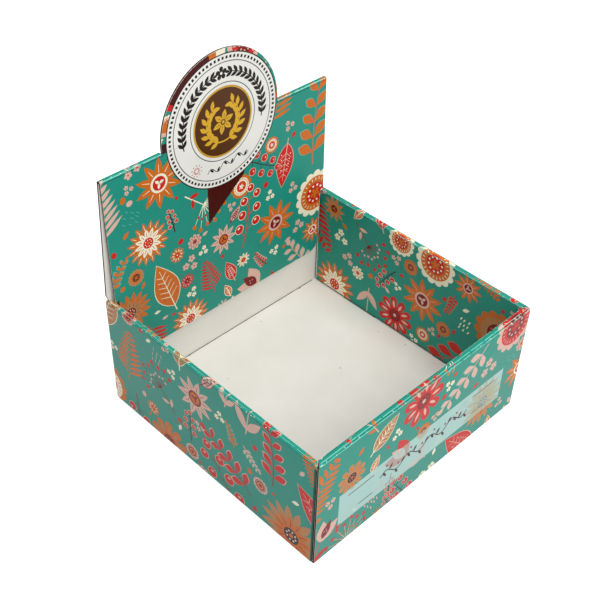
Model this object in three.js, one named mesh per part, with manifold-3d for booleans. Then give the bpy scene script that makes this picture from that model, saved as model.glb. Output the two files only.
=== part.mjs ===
// A counter display box folded from one die-cut sheet of printed fluted board.
// The tray has double side and front walls that roll over at the rim, and a single back wall.
// The back wall carries on upward as the rear layer of a header. A narrow double fold on top
// turns it into the front layer, which hangs down, rests its shoulders on the side rims and
// tucks into the tray. A round sign is cut free of the rear layer and the top fold, so it stands
// up in one plane with the front layer and leaves its own outline as a hole behind it.
// Millimetres. X is the width, Y runs from the front to the back, Z is up.
// The origin is the centre of the floor's underside.

import * as THREE from 'three';
import { mergeVertices } from 'three/addons/utils/BufferGeometryUtils.js';
import Module from 'manifold-3d';

const wasm = await Module();
wasm.setup();

// Tray, outside sizes
const TRAY_WIDTH = 200;
const TRAY_DEPTH = 197;
const WALL_HEIGHT = 90;

// Board and folds
const BOARD = 1.5;
const FOLD_RADIUS = 1.2;
const SIDE_LINER_GAP = 1.0;
const FRONT_LINER_GAP = 0.15;
const PANEL_CLEARANCE = 0.15;
const LINER_FLOOR_GAP = 1.0;
const RAW_EDGE_INSET = 0.8;

// Corner flaps that join the side walls to the front and back walls
const CORNER_FLAP_LENGTH = 40;
const CORNER_FLAP_TAPER = 7;
const CORNER_FLAP_TOP_DROP = 3;
const CORNER_FLAP_FOOT = 0.5;

// Rim ends
const MITRE_SLIT = 0.9;
const RIM_BACK_GAP = 0.3;
const LINER_BACK_GAP = 1.4;

// Tabs that lock the inner panels into slots in the floor
const TAB_LENGTH = 33;
const TAB_SPACING = 92;
const TAB_FOOT_INSET = 0.2;
const SLOT_CLEARANCE = 0.3;

// Header
const HEADER_HEIGHT = 93.4;
const HEADER_TOP_WIDTH = 193.4;
const HEADER_LEAN = 1.2;
const LAYER_GAP = 0.3;
const RELIEF_HEIGHT = 5;

// Front layer of the header, its tuck, and the round sign cut out with it
const FRONT_LAYER_SPREAD = 1.5;
const TUCK_LENGTH = 55;
const TUCK_RETURN = 1.5;
const TUCK_SIDE_CLEARANCE = 2.6;
const TUCK_CORNER_RADIUS = 8;
const SHOULDER_GAP = 0.4;
const HINGE_GAP = 0.3;
const LIP_DROP = 0.2;
const SIGN_RADIUS = 49.4;
const SIGN_CENTRE_ABOVE_FOLD = 3.6;
const SIGN_CUT_CLEARANCE = 0.4;

// How finely round outlines are divided
const FOLD_SEGMENTS = 3;
const SIGN_SEGMENTS = 72;
const CORNER_SEGMENTS = 8;

// Reach of a cutting solid past the board that it cuts
const REACH = 20;

// Places worked out from the sizes
const sideFace = TRAY_WIDTH / 2;
const frontFace = -TRAY_DEPTH / 2;
const flapFace = frontFace + BOARD;
const backFlapFace = TRAY_DEPTH / 2;
const backFace = backFlapFace - BOARD;
const sideInnerFace = sideFace - 2 * BOARD - SIDE_LINER_GAP;
const frontInnerFace = flapFace + 2 * BOARD + FRONT_LINER_GAP;
const backInnerFace = backFace - BOARD;
const linerFoot = BOARD + LINER_FLOOR_GAP;
const headerTop = WALL_HEIGHT + HEADER_HEIGHT;
const headerBackTop = backFace - HEADER_LEAN;
const spineDepth = 2 * BOARD + LAYER_GAP;
const frontLayerTopFace = headerBackTop - spineDepth;
const lipFoot = headerTop - BOARD - LIP_DROP;
const flapTop = lipFoot - HINGE_GAP;
const frontLayerFoldFace = frontLayerTopFace - FRONT_LAYER_SPREAD;
const tuckEndFace = frontLayerFoldFace + TUCK_RETURN;
const tuckEnd = WALL_HEIGHT - TUCK_LENGTH;
const signCentre = headerTop + SIGN_CENTRE_ABOVE_FOLD;

// Solids from geometry, and back
function solidOf(geometry) {
  const bare = geometry.clone();
  bare.deleteAttribute('normal');
  bare.deleteAttribute('uv');
  const merged = mergeVertices(bare, 1e-4);
  return new wasm.Manifold(new wasm.Mesh({
    numProp: 3,
    vertProperties: new Float32Array(merged.attributes.position.array),
    triVerts: new Uint32Array(merged.index.array),
  }));
}

function geometryOf(solid) {
  const mesh = solid.getMesh();
  const geometry = new THREE.BufferGeometry();
  geometry.setAttribute('position', new THREE.BufferAttribute(new Float32Array(mesh.vertProperties), 3));
  geometry.setIndex(new THREE.BufferAttribute(new Uint32Array(mesh.triVerts), 1));
  geometry.computeVertexNormals();
  return geometry;
}

function joined(solids) {
  return solids.reduce((whole, piece) => whole.add(piece));
}

// Extrusions of a flat shape along each axis. The shape is drawn in the other two axes.
function alongX(shape, from, to, segments = FOLD_SEGMENTS) {
  return extruded(shape, to - from, segments, [0, 1, 0], [0, 0, 1], [1, 0, 0], [from, 0, 0]);
}

function alongY(shape, from, to, segments = FOLD_SEGMENTS) {
  return extruded(shape, to - from, segments, [1, 0, 0], [0, 0, 1], [0, -1, 0], [0, to, 0]);
}

function alongZ(shape, from, to, segments = FOLD_SEGMENTS) {
  return extruded(shape, to - from, segments, [1, 0, 0], [0, 1, 0], [0, 0, 1], [0, 0, from]);
}

function extruded(shape, depth, curveSegments, right, up, out, start) {
  const geometry = new THREE.ExtrudeGeometry(shape, { depth, curveSegments, bevelEnabled: false });
  const turn = new THREE.Matrix4().makeBasis(
    new THREE.Vector3(...right), new THREE.Vector3(...up), new THREE.Vector3(...out),
  );
  geometry.applyMatrix4(turn.setPosition(...start));
  return solidOf(geometry);
}

function block(xFrom, xTo, yFrom, yTo, zFrom, zTo) {
  const geometry = new THREE.BoxGeometry(xTo - xFrom, yTo - yFrom, zTo - zFrom);
  geometry.translate((xFrom + xTo) / 2, (yFrom + yTo) / 2, (zFrom + zTo) / 2);
  return solidOf(geometry);
}

function polygon(points) {
  return new THREE.Shape(points.map(([across, up]) => new THREE.Vector2(across, up)));
}

// The section of a folded board. The path runs along its outer face, and the board's thickness
// lies to the left of the path. Sharp folds are rounded outside and pressed square inside.
function foldedBoard(path) {
  const outer = path.map(([across, up]) => new THREE.Vector2(across, up));
  const count = outer.length;
  const runs = outer.slice(1).map((point, i) => point.clone().sub(outer[i]).normalize());
  const lefts = runs.map((run) => new THREE.Vector2(-run.y, run.x));
  const shape = new THREE.Shape();
  shape.moveTo(outer[0].x, outer[0].y);
  for (let i = 1; i < count - 1; i += 1) {
    const turn = Math.acos(THREE.MathUtils.clamp(runs[i - 1].dot(runs[i]), -1, 1));
    if (turn < Math.PI / 6) {
      shape.lineTo(outer[i].x, outer[i].y);
    } else {
      const setback = FOLD_RADIUS * Math.tan(turn / 2);
      const begin = outer[i].clone().addScaledVector(runs[i - 1], -setback);
      const centre = begin.clone().addScaledVector(lefts[i - 1], FOLD_RADIUS);
      const fromAngle = Math.atan2(-lefts[i - 1].y, -lefts[i - 1].x);
      shape.lineTo(begin.x, begin.y);
      shape.absarc(centre.x, centre.y, FOLD_RADIUS, fromAngle, fromAngle + turn, false);
    }
  }
  shape.lineTo(outer[count - 1].x, outer[count - 1].y);
  for (let i = count - 1; i >= 0; i -= 1) {
    const before = lefts[Math.max(i - 1, 0)];
    const after = lefts[Math.min(i, lefts.length - 1)];
    const mitre = before.clone().add(after);
    const inner = outer[i].clone().addScaledVector(mitre, BOARD / (1 + before.dot(after)));
    shape.lineTo(inner.x, inner.y);
  }
  shape.closePath();
  return shape;
}

// The tabs along one inner panel, centred on the wall, as spans of its length
function tabSpans() {
  return [-1, 1].map((end) => {
    const middle = end * TAB_SPACING / 2;
    return [middle - TAB_LENGTH / 2, middle + TAB_LENGTH / 2];
  });
}

// One side wall: the floor's half, the outer panel, the rim and the inner panel in one section,
// with the rim mitred at the front and the inner layers cut short for the back wall
function sideWall() {
  const section = foldedBoard([
    [-BOARD, 0],
    [sideFace, 0],
    [sideFace, WALL_HEIGHT],
    [sideInnerFace, WALL_HEIGHT],
    [sideInnerFace, linerFoot],
  ]);
  const outerBack = sideFace - BOARD;
  const flapTopEdge = WALL_HEIGHT - CORNER_FLAP_TOP_DROP;
  const cornerStart = flapFace + FOLD_RADIUS;
  const mitreEnd = frontFace + MITRE_SLIT;
  const frontOfMitre = polygon([
    [sideInnerFace - REACH, frontInnerFace - REACH],
    [sideFace + REACH, frontInnerFace - REACH],
    [sideFace + REACH, mitreEnd],
    [sideFace, mitreEnd],
    [sideInnerFace, frontInnerFace],
    [sideInnerFace - REACH, frontInnerFace],
  ]);
  const behind = backFlapFace + REACH;
  const over = WALL_HEIGHT + REACH;
  const cuts = [
    alongZ(frontOfMitre, flapTopEdge, over),
    block(-REACH, sideFace + REACH, frontFace - REACH, cornerStart, -REACH, flapTopEdge),
    block(-REACH, outerBack, frontFace - REACH, frontInnerFace, BOARD, flapTopEdge),
    block(-REACH, outerBack, backInnerFace - RIM_BACK_GAP, behind, BOARD, over),
    block(-REACH, outerBack, backInnerFace - LINER_BACK_GAP, behind, BOARD, WALL_HEIGHT - BOARD),
    block(-REACH, outerBack, backInnerFace, behind, -REACH, BOARD),
  ];
  return alongY(section, frontFace, backFlapFace - FOLD_RADIUS).subtract(joined(cuts));
}

// The two corner flaps of one side wall, folded inward at its front and back ends
function cornerFlaps() {
  const plan = foldedBoard([
    [sideFace - CORNER_FLAP_LENGTH, flapFace],
    [sideFace, flapFace],
    [sideFace, backFlapFace],
    [sideFace - CORNER_FLAP_LENGTH, backFlapFace],
  ]);
  const foot = BOARD + CORNER_FLAP_FOOT;
  const top = WALL_HEIGHT - CORNER_FLAP_TOP_DROP;
  const freeEnd = sideFace - CORNER_FLAP_LENGTH;
  const outline = polygon([
    [freeEnd - REACH, foot],
    [sideFace + REACH, foot],
    [sideFace + REACH, top],
    [sideFace - BOARD, top],
    [freeEnd, top - CORNER_FLAP_TAPER],
    [freeEnd - REACH, top - CORNER_FLAP_TAPER],
  ]);
  const band = alongZ(plan, 0, WALL_HEIGHT);
  return band.intersect(alongY(outline, frontFace - REACH, backFlapFace + REACH));
}

// The front wall: the inner panel, the rim with mitred ends, the outer panel and the floor
function frontWall() {
  const section = foldedBoard([
    [frontInnerFace, linerFoot],
    [frontInnerFace, WALL_HEIGHT],
    [frontFace, WALL_HEIGHT],
    [frontFace, 0],
    [BOARD, 0],
  ]);
  const halfOuter = sideFace - RAW_EDGE_INSET;
  const halfInner = sideInnerFace - MITRE_SLIT;
  const pastMitre = polygon([
    [halfOuter, frontFace],
    [halfOuter + REACH, frontFace],
    [halfOuter + REACH, frontInnerFace + REACH],
    [halfInner, frontInnerFace + REACH],
    [halfInner, frontInnerFace],
  ]);
  const inside = frontInnerFace + REACH;
  const pastInner = block(halfInner, sideFace + REACH, flapFace, inside, BOARD, WALL_HEIGHT - BOARD);
  const rightEnd = joined([alongZ(pastMitre, WALL_HEIGHT - BOARD, WALL_HEIGHT + REACH), pastInner]);
  return alongX(section, -halfOuter, halfOuter).subtract(joined([rightEnd, mirrored(rightEnd)]));
}

// The back wall, the rear layer of the header and the fold on its top, cut to their outline
function backWallAndRearLayer() {
  const section = foldedBoard([
    [-BOARD, 0],
    [backFace, 0],
    [backFace, WALL_HEIGHT],
    [headerBackTop, headerTop],
    [frontLayerTopFace, headerTop],
    [frontLayerTopFace, lipFoot],
  ]);
  const halfBack = sideFace - BOARD - PANEL_CLEARANCE;
  const halfTop = HEADER_TOP_WIDTH / 2;
  const rightHalf = [
    [halfBack, -REACH],
    [halfBack, WALL_HEIGHT],
    [sideFace, WALL_HEIGHT + RELIEF_HEIGHT],
    [halfTop, headerTop],
    [halfTop, headerTop + REACH],
  ];
  const leftHalf = rightHalf.map(([across, up]) => [-across, up]).reverse();
  const outline = alongY(polygon([...rightHalf, ...leftHalf]), -REACH, backFlapFace + REACH);
  return alongX(section, -sideFace, sideFace).intersect(outline).subtract(signHole());
}

// The hole that the sign leaves. Unfolded flat, it is the sign's own outline.
function signHole() {
  const radius = SIGN_RADIUS + SIGN_CUT_CLEARANCE;
  const creaseToCentre = signCentre - flapTop;
  const centre = headerTop + spineDepth - creaseToCentre;
  const round = new THREE.Shape();
  round.absarc(0, centre, radius, 0, 2 * Math.PI, false);
  const front = frontLayerTopFace - REACH;
  const back = backFlapFace + REACH;
  return joined([
    alongY(round, front, back, SIGN_SEGMENTS / 2),
    block(-radius, radius, front, back, centre, headerTop + REACH),
  ]);
}

function mirrored(solid) {
  return solid.mirror([1, 0, 0]);
}

// The whole sheet apart from the front layer: tabs locked in their slots, flaps glued
function traySolid() {
  const slots = [];
  const tabs = [];
  const tabFoot = TAB_FOOT_INSET;
  const slotTop = BOARD + PANEL_CLEARANCE;
  for (const [from, to] of tabSpans()) {
    const slotFrom = from - SLOT_CLEARANCE;
    const slotTo = to + SLOT_CLEARANCE;
    const sideSlotEdge = sideInnerFace - SLOT_CLEARANCE;
    slots.push(block(sideSlotEdge, sideFace - BOARD, slotFrom, slotTo, -REACH, slotTop));
    tabs.push(block(sideInnerFace, sideInnerFace + BOARD, from, to, tabFoot, linerFoot + BOARD));
    const frontSlotEdge = frontInnerFace + SLOT_CLEARANCE;
    const frontLinerBack = frontInnerFace - BOARD;
    slots.push(block(slotFrom, slotTo, frontLinerBack - SLOT_CLEARANCE, frontSlotEdge, -REACH, slotTop));
    tabs.push(block(from, to, frontLinerBack, frontInnerFace, tabFoot, linerFoot + BOARD));
  }
  const right = joined([sideWall(), cornerFlaps()]);
  const sheet = joined([right, mirrored(right), frontWall(), backWallAndRearLayer()]);
  const slotSolid = joined(slots);
  const tabSolid = joined(tabs);
  const slotted = sheet.subtract(joined([slotSolid, mirrored(slotSolid)]));
  return joined([slotted, tabSolid, mirrored(tabSolid)]);
}

// The front layer: a flat panel with the sign standing up from it, and a tuck below a soft fold
function headerFlapSolid() {
  const slope = FRONT_LAYER_SPREAD / (lipFoot - WALL_HEIGHT);
  const signTop = signCentre + SIGN_RADIUS + REACH;
  const section = foldedBoard([
    [frontLayerFoldFace + slope * (signTop - WALL_HEIGHT), signTop],
    [frontLayerFoldFace, WALL_HEIGHT],
    [tuckEndFace, tuckEnd],
  ]);
  const halfWidth = HEADER_TOP_WIDTH / 2;
  const halfTuck = sideInnerFace - TUCK_SIDE_CLEARANCE;
  const shoulder = WALL_HEIGHT + SHOULDER_GAP;
  const panel = new THREE.Shape();
  panel.moveTo(halfWidth, flapTop);
  panel.lineTo(-halfWidth, flapTop);
  panel.lineTo(-halfWidth, shoulder);
  panel.lineTo(-halfTuck, shoulder);
  const arcHeight = tuckEnd + TUCK_CORNER_RADIUS;
  const arcReach = halfTuck - TUCK_CORNER_RADIUS;
  panel.absarc(-arcReach, arcHeight, TUCK_CORNER_RADIUS, Math.PI, 1.5 * Math.PI, false);
  panel.absarc(arcReach, arcHeight, TUCK_CORNER_RADIUS, 1.5 * Math.PI, 2 * Math.PI, false);
  panel.lineTo(halfTuck, shoulder);
  panel.lineTo(halfWidth, shoulder);
  panel.closePath();
  const sign = new THREE.Shape();
  sign.absarc(0, signCentre, SIGN_RADIUS, 0, 2 * Math.PI, false);
  const front = frontLayerFoldFace - REACH;
  const back = backFlapFace + REACH;
  const outline = joined([
    alongY(panel, front, back, CORNER_SEGMENTS),
    alongY(sign, front, back, SIGN_SEGMENTS / 2),
  ]);
  return alongX(section, -halfWidth, halfWidth).intersect(outline);
}

function boardMesh(name, solid, material) {
  const mesh = new THREE.Mesh(geometryOf(solid), material);
  mesh.name = name;
  return mesh;
}

const printedBoard = new THREE.MeshStandardMaterial({ color: '#3c8f80', roughness: 0.45, metalness: 0 });
const printedHeader = new THREE.MeshStandardMaterial({ color: '#1f8b79', roughness: 0.4, metalness: 0 });

const displayBox = new THREE.Group();
displayBox.add(boardMesh('tray', traySolid(), printedBoard));
displayBox.add(boardMesh('header_flap', headerFlapSolid(), printedHeader));

export default displayBox;
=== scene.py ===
"""Looks of a counter display box folded from one sheet of printed fluted board.

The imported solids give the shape. This script gives them the finish of the real board, which is
printed and laminated outside, bare grey-white inside and raw at its cut edges, and lays the print
on them as ink shapes that follow the sheet over every fold. Sizes are in millimetres.
"""

import random
from math import atan2, cos, hypot, log, pi, radians, sin, tan

import bmesh
import bpy
from mathutils import Matrix, Vector
from mathutils.geometry import tessellate_polygon


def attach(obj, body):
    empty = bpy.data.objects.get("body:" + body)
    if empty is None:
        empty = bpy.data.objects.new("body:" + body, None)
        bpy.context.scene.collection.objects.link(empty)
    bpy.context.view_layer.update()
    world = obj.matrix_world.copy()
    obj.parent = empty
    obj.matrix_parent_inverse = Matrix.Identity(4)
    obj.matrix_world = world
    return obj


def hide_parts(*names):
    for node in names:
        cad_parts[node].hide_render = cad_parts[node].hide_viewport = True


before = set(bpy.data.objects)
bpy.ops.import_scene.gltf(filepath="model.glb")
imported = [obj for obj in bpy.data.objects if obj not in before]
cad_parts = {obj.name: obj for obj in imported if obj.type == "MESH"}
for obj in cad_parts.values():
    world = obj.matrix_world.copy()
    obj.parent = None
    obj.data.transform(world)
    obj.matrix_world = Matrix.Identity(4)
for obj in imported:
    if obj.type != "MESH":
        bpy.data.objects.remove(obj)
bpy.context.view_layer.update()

MM = 0.001
TRAY = "folded_tray"
FLAP = "front_layer"

# The sheet's sizes, as in the solids
BOARD = 1.5
FOLD_RADIUS = 1.2
FOLD_CHORDS = 3
SOFT_CORNER = 0.5  # radians: a path that turns less isn't rounded
UNDER_FLOOR = 6.0  # how far the outer walls' facets go on below the floor
WALL_HEIGHT = 90.0
SIDE = 100.0
SIDE_INNER = 96.0
FRONT = -98.5
FRONT_INNER = -93.85
CORNER_FRONT = -97.0
CORNER_BACK = 98.5
BACK = 97.0
BACK_INNER = 95.5
CORNER_FLAP_END = 60.0
CORNER_FLAP_FOOT = 2.0
CORNER_FLAP_TOP = 87.0
CORNER_FLAP_TAPER = 7.0
LINER_FOOT = 2.5
FRONT_RAW_EDGE = 99.2
MITRE_SLIT = 0.9
HEADER_TOP = 183.4
HEADER_BACK_TOP = 95.8
SPINE_FRONT = 92.5
LIP_FOOT = 181.7
FLAP_TOP = 181.4
FLAP_FOLD = 91.0
FLAP_END = 92.5
TUCK_END = 35.0
TUCK_HALF = 93.4
TUCK_CORNER = 8.0
SHOULDER = 90.4
HEADER_HALF = 96.7
BACK_HALF = 98.35
SIGN_RADIUS = 49.4
SIGN_CENTRE = 187.0
HOLE_RADIUS = 49.8
HOLE_CENTRE_ON_SHEET = 189.0

# What follows from them: how the header's layers slope, and the run that a rounded corner saves
REAR_LEAN = (BACK - HEADER_BACK_TOP) / (HEADER_TOP - WALL_HEIGHT)
LAYER_SLOPE = (SPINE_FRONT - FLAP_FOLD) / (LIP_FOOT - WALL_HEIGHT)
CORNER_SAVING = FOLD_RADIUS * (2 - pi / 2)
FLAP_DROP = CORNER_FLAP_TAPER / (SIDE - BOARD - CORNER_FLAP_END)
RELIEF = 5.0  # height above the walls over which the header is cut back
SIDE_INNER_END = BACK_INNER - 1.4  # where a side wall's inner panel stops before the back wall

FLUTE_PITCH = 3.4
LINER_LINE = 0.22  # thickness of a liner in the cut edge
INK_SPECULAR = 0.18  # the film's gloss, low because its surface is slightly matt

# The ink's build-up on the board. It is drawn thicker than real ink, so that layers never meet.
INK_FOOT = -0.008
INK_BASE = 0.02
INK_STEP = 0.012
INK_RANK = 0.0018  # shapes of one layer differ by this, so that they don't share a plane
RANKS = 6


# Colour and material helpers

def linear(hex_colour):
    """An sRGB hex colour as the linear RGBA that Blender's sockets take."""
    channels = [int(hex_colour[i:i + 2], 16) / 255 for i in (1, 3, 5)]
    return [c / 12.92 if c <= 0.04045 else ((c + 0.055) / 1.055) ** 2.4 for c in channels] + [1.0]


def node(tree, kind, settings=None, **inputs):
    """Adds one shader or geometry node. An input is a value or another node's output socket."""
    made = tree.nodes.new(kind)
    for name, value in (settings or {}).items():
        setattr(made, name, value)
    for name, value in inputs.items():
        key = int(name[1:]) if name[0] == "i" and name[1:].isdigit() else name.replace("_", " ")
        socket = made.inputs[key]
        if isinstance(value, bpy.types.NodeSocket):
            tree.links.new(value, socket)
        else:
            socket.default_value = value
    return made


def new_material(name):
    material = bpy.data.materials.new(name)
    material.use_nodes = True
    tree = material.node_tree
    tree.nodes.clear()
    return material, tree


def finish_material(tree, shader):
    node(tree, "ShaderNodeOutputMaterial", Surface=shader)


def put_in_scene(name, data):
    made = bpy.data.objects.new(name, data)
    bpy.context.scene.collection.objects.link(made)
    return made


def sums(tree, operation, *values):
    inputs = {f"i{place}": value for place, value in enumerate(values)}
    return node(tree, "ShaderNodeMath", {"operation": operation}, **inputs).outputs[0]


def noise(tree, where, scale, detail, roughness=0.5):
    return node(tree, "ShaderNodeTexNoise", Vector=where, Scale=scale, Detail=detail,
                Roughness=roughness).outputs["Fac"]


def stretched(tree, value, low, high, to_low=0.0, to_high=1.0):
    """A value's range from low to high, laid over another."""
    return node(tree, "ShaderNodeMapRange", Value=value, From_Min=low, From_Max=high,
                To_Min=to_low, To_Max=to_high).outputs[0]


def mixed(tree, share, first, second):
    """Part way between two colours, each a hex, a list or a socket."""
    first, second = [linear(c) if isinstance(c, str) else c for c in (first, second)]
    made = node(tree, "ShaderNodeMix", {"data_type": "RGBA"}, i0=share, i6=first, i7=second)
    return made.outputs[2]


def finish_board(tree, colour, roughness, relief, **gloss):
    """The surface itself. relief is the height that it follows, how strongly, and how high."""
    height, strength, distance = relief
    bump = node(tree, "ShaderNodeBump", Height=height, Strength=strength, Distance=distance)
    shader = node(tree, "ShaderNodeBsdfPrincipled", Base_Color=colour, Roughness=roughness,
                  Normal=bump.outputs[0], **gloss)
    finish_material(tree, shader.outputs[0])


def flute_ribs(tree, coordinates):
    """Faint ribs that the flutes leave on a face: upright on the side walls, level elsewhere."""
    axes = node(tree, "ShaderNodeSeparateXYZ", Vector=coordinates.outputs["Object"])
    facing = node(tree, "ShaderNodeSeparateXYZ", Vector=coordinates.outputs["Normal"])
    on_side = sums(tree, "GREATER_THAN", sums(tree, "ABSOLUTE", facing.outputs["X"]), 0.5)
    across = node(tree, "ShaderNodeMix", i0=on_side, i2=axes.outputs["Z"], i3=axes.outputs["Y"])
    placed = node(tree, "ShaderNodeCombineXYZ", X=across.outputs[0])
    return node(tree, "ShaderNodeTexWave", {"wave_type": "BANDS", "bands_direction": "X"},
                Vector=placed.outputs[0], Scale=pi / (10 * FLUTE_PITCH * MM)).outputs["Fac"]


def printed_finish(name, hex_colour, shade=0.06, gloss=0.38, worn=0.0):
    """Litho ink under a thin film: even colour, soft gloss, faint ribs from the flutes below.

    shade is how far the ink's density drifts, worn is how much pale fibre shows on a fold.
    """
    material, tree = new_material(name)
    coordinates = node(tree, "ShaderNodeTexCoord")
    where = coordinates.outputs["Object"]
    drift = noise(tree, where, 22.0, 2.0)
    both = sums(tree, "MULTIPLY_ADD", noise(tree, where, 1300.0, 1.0), 0.35, drift)
    deep, light = [[min(1.0, c * (1 + change)) for c in linear(hex_colour)[:3]] + [1.0]
                   for change in (-shade, shade)]
    ink = mixed(tree, stretched(tree, both, 0.45, 0.9), deep, light)
    if worn:
        cracks = noise(tree, where, 420.0, 4.0, 0.75)
        ink = mixed(tree, stretched(tree, cracks, 0.60, 0.70, 0.0, worn), ink, "#E3ECE7")
    film = stretched(tree, drift, 0.3, 0.7, gloss - 0.04, gloss + 0.05)
    ribs = (flute_ribs(tree, coordinates), 0.05, 0.0004)
    finish_board(tree, ink, film, ribs, IOR=1.49, Specular_IOR_Level=INK_SPECULAR)
    return material


def bare_liner():
    """Unprinted inner liner of recycled fibre: matt grey-white with fine fibres and dark specks."""
    material, tree = new_material("bare_recycled_liner")
    where = node(tree, "ShaderNodeTexCoord").outputs["Object"]
    fibre = noise(tree, where, 1400.0, 3.0, 0.7)
    tone = sums(tree, "MULTIPLY_ADD", fibre, 0.6, noise(tree, where, 35.0, 4.0))
    paper = mixed(tree, stretched(tree, tone, 0.55, 1.0), "#DFDCD4", "#E6E3DC")
    cells = node(tree, "ShaderNodeTexVoronoi", Vector=where, Scale=95.0, Randomness=1.0)
    choice = node(tree, "ShaderNodeTexWhiteNoise", Vector=cells.outputs["Position"])
    size = stretched(tree, choice.outputs["Value"], 0.72, 1.0, 0.0, 0.085)
    speck = sums(tree, "LESS_THAN", cells.outputs["Distance"], size)
    flecked = mixed(tree, sums(tree, "MULTIPLY", speck, 0.75), paper, "#5D5348")
    finish_board(tree, flecked, 0.82, (fibre, 0.12, 0.0002))
    return material


def cut_edge(name, deep_hex, light_hex):
    """Cut board: rough matt fibre between two tones, with almost no gloss."""
    material, tree = new_material(name)
    where = node(tree, "ShaderNodeTexCoord").outputs["Object"]
    fibre = noise(tree, where, 1100.0, 4.0, 0.75)
    tone = mixed(tree, fibre, deep_hex, light_hex)
    finish_board(tree, tone, 0.9, (fibre, 0.3, 0.0003), Specular_IOR_Level=0.08)
    return material


INK_COLOURS = {
    "orange": "#CE6A1A",
    "tan": "#B98252",
    "blush": "#DDB4A4",
    "red": "#C9211C",
    "crimson": "#7C1016",
    "cream": "#F3EDD2",
    "plum": "#3B1420",
    "leaf_teal": "#57B3A2",
    "ribbon": "#420300",
    "label": "#E9E9E3",
    "label_dark": "#1C100E",
    "gold": "#D9A92E",
    "gold_edge": "#C79B3A",
    "emblem_brown": "#502A04",
    "band": "#A9CCC6",
    # Painted highlight and painted shade for the lines along the folds
    "crease_light": "#97D8C9",
    "crease_dark": "#14665A",
    "fibre": "#E8ECE6",
    # Painted shade in the gaps under the inner panels' feet and along the floor's fold
    "crack": "#4A433A",
    # Painted shade on a side wall's front corner fold
    "fold_shade": "#145348",
    # Painted shade along the crease across the label, and painted highlight where it crosses the
    # dark emblem
    "label_crease": "#CFCEC7",
    "emblem_light": "#664216",
}
BAND_TINT = 0.70  # how much the pale band covers the print below it

MATERIALS = {
    # Litho print under film on fluted board: even and softly glossy
    "teal": printed_finish("laminated_teal_print", "#1F8E7D", shade=0.05),
    # The same print over a fold: lighter as a painted highlight where the fold catches the light,
    # shinier, with fine pale cracks of wear
    "fold": printed_finish("fold_print_with_painted_highlight", "#2BA08C", shade=0.08, gloss=0.30, worn=0.8),
    # Unprinted recycled liner: matt grey-white with fibres and specks
    "liner": bare_liner(),
    # A raw edge: the board's brown fibre, darkened almost to black as painted shade of the flute
    # hollows that one sees into
    "edge": cut_edge("raw_board_edge_painted_hollow_shade", "#16100B", "#41362B"),
    # The wavy paper seen end-on: brown and matt, darkened as painted shade inside the flutes
    "flute": cut_edge("wavy_paper_of_cut_flutes_painted_shade", "#33291F", "#695C4B"),
    # The two liners seen end-on: fine pale lines
    "liner_line": cut_edge("cut_liners_of_raw_edge", "#CFC6B6", "#F0EADF"),
    # Painted shade in the gap between two boards: almost black
    "slit": cut_edge("painted_shade_in_board_gap", "#070403", "#120C09"),
}
# Inks, labels and marks, each the same film-covered print in its own colour
for ink_name, ink_hex in INK_COLOURS.items():
    MATERIALS[ink_name] = printed_finish("ink_" + ink_name, ink_hex, shade=0.05)


def between(hex_a, hex_b, share):
    """A hex colour part way from one to another."""
    pairs = [(int(hex_a[i:i + 2], 16), int(hex_b[i:i + 2], 16)) for i in (1, 3, 5)]
    return "#" + "".join(f"{round(a + (b - a) * share):02X}" for a, b in pairs)


def under_band(colour):
    """The same ink seen through the pale band."""
    name = colour + "_under_band"
    if name not in MATERIALS:
        tone = between(INK_COLOURS[colour], INK_COLOURS["band"], BAND_TINT)
        MATERIALS[name] = printed_finish("ink_" + name, tone, shade=0.04)
    return name


# Outlines of the print's shapes, in millimetres, each a closed run of points

def block(low_x, low_y, high_x, high_y):
    return [(low_x, low_y), (high_x, low_y), (high_x, high_y), (low_x, high_y)]


def box_of(points):
    xs, ys = zip(*points)
    return min(xs), min(ys), max(xs), max(ys)


def polar(radius, angle, x=0.0, y=0.0):
    """The point at a radius and angle about a middle."""
    return (x + radius * cos(angle), y + radius * sin(angle))


def around(count, start=0.0):
    """Angles at even steps of a full turn."""
    return [start + 2 * pi * i / count for i in range(count)]


def circle(x, y, radius, sides=0):
    sides = sides or max(10, min(96, int(radius * 3) + 8))
    turn = 2 * pi / sides
    return [polar(radius, i * turn, x, y) for i in range(sides)]


def turned(points, angle, x=0.0, y=0.0, scale=1.0):
    c, s = cos(angle) * scale, sin(angle) * scale
    return [(x + c * px - s * py, y + s * px + c * py) for px, py in points]


def oval(x, y, length, width, angle):
    rim = [(length / 2 * cos(a), width / 2 * sin(a)) for a in around(14)]
    return turned(rim, angle, x, y)


def leaf(x, y, angle, length, width, belly=0.45, steps=7):
    """A pointed leaf from its foot. belly is where it is widest."""
    power = log(0.5) / log(belly)
    side = [(length * i / steps, width / 2 * sin(pi * (i / steps) ** power))
            for i in range(steps + 1)]
    return turned(side + [(px, -py) for px, py in side[-2:0:-1]], angle, x, y)


def petal(x, y, angle, length, width, steps=5):
    """A petal with a narrow foot and a round end."""
    round_end = width / 2
    neck = length - round_end
    bends = [i * pi / 2 / steps for i in range(steps + 1)]
    half = [(0.0, width * 0.08), (neck * 0.5, width * 0.36)]
    half += [(neck + round_end * sin(t), round_end * cos(t)) for t in bends]
    return turned(half + [(px, -py) for px, py in half[-2::-1]], angle, x, y)


def line(points, start_width, end_width=None):
    """A drawn line along points, of one width or tapering to another."""
    end_width = start_width if end_width is None else end_width
    count = len(points) - 1
    left, right = [], []
    for i, (x, y) in enumerate(points):
        ax, ay = points[max(i - 1, 0)]
        bx, by = points[min(i + 1, count)]
        size = hypot(bx - ax, by - ay) or 1.0
        width = (start_width + (end_width - start_width) * i / count) / 2
        nx, ny = -(by - ay) / size * width, (bx - ax) / size * width
        left.append((x + nx, y + ny))
        right.append((x - nx, y - ny))
    return right + left[::-1]


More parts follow.
